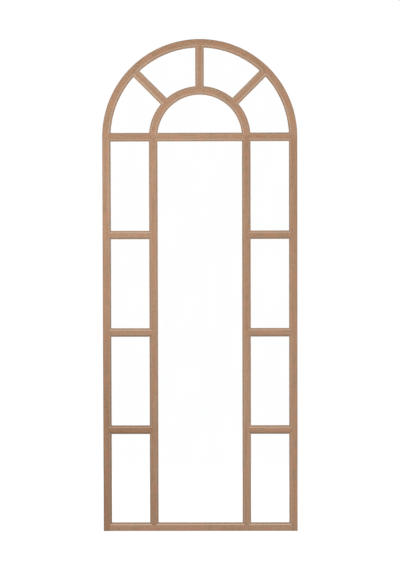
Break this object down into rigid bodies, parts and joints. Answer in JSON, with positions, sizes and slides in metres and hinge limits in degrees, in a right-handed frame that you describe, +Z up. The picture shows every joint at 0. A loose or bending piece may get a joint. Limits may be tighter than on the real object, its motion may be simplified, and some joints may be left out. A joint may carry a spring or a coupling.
{
  "type": "arched window mirror",
  "caption": "Full-length wall mirror made as an arched timber window frame with glazing bars, separate mirror panes, a boarded back and ring hangers.",
  "frame": {"origin": "on the underside of the frame, at mid width and at mid depth of the timber", "axes": "+X to the right seen from the front, +Y towards the wall behind, +Z up"},
  "size_m": [0.712, 0.027, 1.8],
  "materials": {
    "stained_timber": "matt warm tan stain over a fine grain",
    "mirror_glass": "silvered flat glass",
    "backboard": "plain hardboard",
    "dowel_beech": "plain beech",
    "zinc_steel": "bright zinc plate",
    "rubber": "matt black"
  },
  "bodies": {
    "frame": {"arch_segment_1": "stained_timber", "arch_segment_2": "stained_timber", "arch_segment_3": "stained_timber", "backboard": "backboard", "bar_dowels": "dowel_beech", "board_screws": "zinc_steel", "bottom_rail": "stained_timber", "fan_pane_1": "mirror_glass", "fan_pane_2": "mirror_glass", "fan_pane_3": "mirror_glass", "fan_pane_4": "mirror_glass", "frame_dowels": "dowel_beech", "half_round_pane": "mirror_glass", "inner_arch_segment_1": "stained_timber", "inner_arch_segment_2": "stained_timber", "inner_arch_segment_3": "stained_timber", "left_hanger_strap": "zinc_steel", "left_mullion": "stained_timber", "left_pane_1": "mirror_glass", "left_pane_2": "mirror_glass", "left_pane_3": "mirror_glass", "left_pane_4": "mirror_glass", "left_side_bar_1": "stained_timber", "left_side_bar_2": "stained_timber", "left_side_bar_3": "stained_timber", "left_stile": "stained_timber", "left_strap_screws": "zinc_steel", "left_transom": "stained_timber", "left_wall_pad": "rubber", "right_hanger_strap": "zinc_steel", "right_mullion": "stained_timber", "right_pane_1": "mirror_glass", "right_pane_2": "mirror_glass", "right_pane_3": "mirror_glass", "right_pane_4": "mirror_glass", "right_side_bar_1": "stained_timber", "right_side_bar_2": "stained_timber", "right_side_bar_3": "stained_timber", "right_stile": "stained_timber", "right_strap_screws": "zinc_steel", "right_transom": "stained_timber", "right_wall_pad": "rubber", "spoke_1": "stained_timber", "spoke_2": "stained_timber", "spoke_3": "stained_timber", "tall_pane": "mirror_glass", "transom_middle": "stained_timber"},
    "left_ring": {"left_hanger_ring": "zinc_steel"},
    "right_ring": {"right_hanger_ring": "zinc_steel"}
  },
  "joints": [
    {"name": "left_ring_swing", "type": "hinge", "parent": "frame", "child": "left_ring", "pos_m": [-0.346, 0.01348, 1.33], "axis": [1, 0, 0], "range_deg": [0, 180]},
    {"name": "right_ring_swing", "type": "hinge", "parent": "frame", "child": "right_ring", "pos_m": [0.346, 0.01348, 1.33], "axis": [1, 0, 0], "range_deg": [0, 180]}
  ]
}
